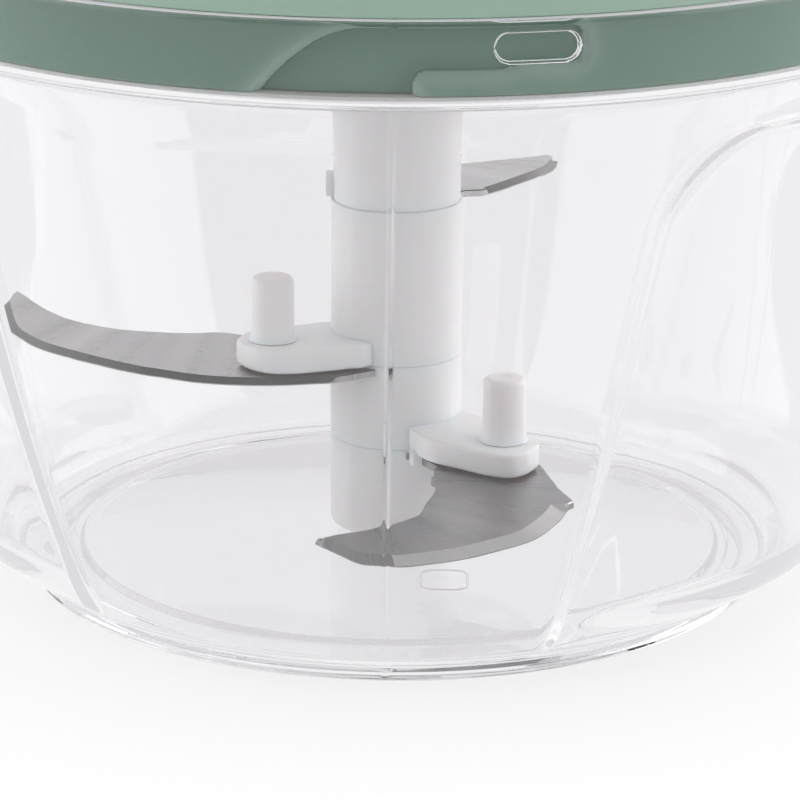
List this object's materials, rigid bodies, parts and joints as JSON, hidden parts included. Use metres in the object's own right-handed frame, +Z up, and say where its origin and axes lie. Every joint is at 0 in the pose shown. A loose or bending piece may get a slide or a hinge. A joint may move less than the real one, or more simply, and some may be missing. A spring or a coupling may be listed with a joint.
{
  "type": "pull cord food chopper",
  "caption": "Clear food chopper bowl with a green bayonet lid; pulling the cord handle spins a drum and the white blade column under it.",
  "frame": {"origin": "middle of the foot ring's resting face, on the blade column's axis", "axes": "+Z up along the blade column's axis, +Y the way the handle pulls out"},
  "size_m": [0.1404, 0.1403, 0.1104],
  "materials": {
    "bowl": "clear polished plastic",
    "lid_skirt": "satin moulded plastic",
    "lid_cover": "satin moulded plastic",
    "lid_seal": "translucent silicone",
    "under_plate": "satin moulded plastic",
    "socket_bushing": "satin moulded plastic",
    "drum_spindle": "ground steel pin",
    "spring_cup": "satin moulded plastic",
    "return_spring": "spring steel strip",
    "cord_eyelet": "polished plastic",
    "cord_lead": "braided cord",
    "cord_drum": "satin moulded plastic",
    "drum_cap": "satin moulded plastic",
    "cord_winding": "braided cord",
    "drive_socket": "satin moulded plastic",
    "drive_core": "satin moulded plastic",
    "pivot_bush": "turned brass",
    "pivot_pin": "ground steel pin",
    "bottom_sleeve": "slightly translucent plastic",
    "lower_hub": "slightly translucent plastic",
    "middle_hub": "slightly translucent plastic",
    "upper_hub": "slightly translucent plastic",
    "lower_blade": "brushed sheet with a ground bevel",
    "middle_blade": "brushed sheet with a ground bevel",
    "upper_blade": "brushed sheet with a ground bevel",
    "lower_post": "slightly translucent plastic",
    "middle_post": "slightly translucent plastic",
    "upper_post": "slightly translucent plastic",
    "handle_grip": "satin moulded plastic",
    "handle_plug": "satin moulded plastic",
    "cord_end": "braided cord",
    "cord_knot": "braided cord",
    "lid_screw_1": "plated screw",
    "lid_screw_2": "plated screw",
    "lid_screw_3": "plated screw",
    "lid_screw_4": "plated screw",
    "cup_screw_1": "plated screw",
    "cup_screw_2": "plated screw",
    "cup_screw_3": "plated screw",
    "drive_screw_1": "plated screw",
    "drive_screw_2": "plated screw"
  },
  "bodies": {
    "bowl": {"bowl": "bowl", "pivot_pin": "pivot_pin"},
    "lid": {"lid_skirt": "lid_skirt", "lid_cover": "lid_cover", "lid_seal": "lid_seal", "under_plate": "under_plate", "socket_bushing": "socket_bushing", "drum_spindle": "drum_spindle", "spring_cup": "spring_cup", "return_spring": "return_spring", "cord_eyelet": "cord_eyelet", "cord_lead": "cord_lead", "lid_screw_1": "lid_screw_1", "lid_screw_2": "lid_screw_2", "lid_screw_3": "lid_screw_3", "lid_screw_4": "lid_screw_4", "cup_screw_1": "cup_screw_1", "cup_screw_2": "cup_screw_2", "cup_screw_3": "cup_screw_3"},
    "drum": {"cord_drum": "cord_drum", "drum_cap": "drum_cap", "cord_winding": "cord_winding", "drive_socket": "drive_socket", "drive_screw_1": "drive_screw_1", "drive_screw_2": "drive_screw_2"},
    "column": {"drive_core": "drive_core", "pivot_bush": "pivot_bush", "bottom_sleeve": "bottom_sleeve", "lower_hub": "lower_hub", "middle_hub": "middle_hub", "upper_hub": "upper_hub", "lower_blade": "lower_blade", "middle_blade": "middle_blade", "upper_blade": "upper_blade", "lower_post": "lower_post", "middle_post": "middle_post", "upper_post": "upper_post"},
    "handle": {"handle_grip": "handle_grip", "handle_plug": "handle_plug", "cord_end": "cord_end", "cord_knot": "cord_knot"}
  },
  "joints": [
    {"name": "lid_turn", "type": "hinge", "parent": "bowl", "child": "lid", "pos_m": [0, 0, 0.0763], "axis": [0, 0, 1], "range_deg": [0, 14.5]},
    {"name": "handle_pull", "type": "slide", "parent": "lid", "child": "handle", "axis": [0, 1, 0], "range_m": [0, 0.26], "stiffness_N_per_m": 20, "springref_m": -0.3},
    {"name": "drum_spin", "type": "hinge", "parent": "lid", "child": "drum", "pos_m": [0, 0, 0.0916], "axis": [0, 0, 1], "range_deg": [0, 880]},
    {"name": "column_spin", "type": "hinge", "parent": "lid", "child": "column", "pos_m": [0, 0, 0.0047], "axis": [0, 0, 1], "range_deg": [0, 880]}
  ],
  "couplings": [
    {"joint": "drum_spin", "follows": "handle_pull", "rad_per_m": 58.48},
    {"joint": "column_spin", "follows": "handle_pull", "rad_per_m": 58.48}
  ]
}
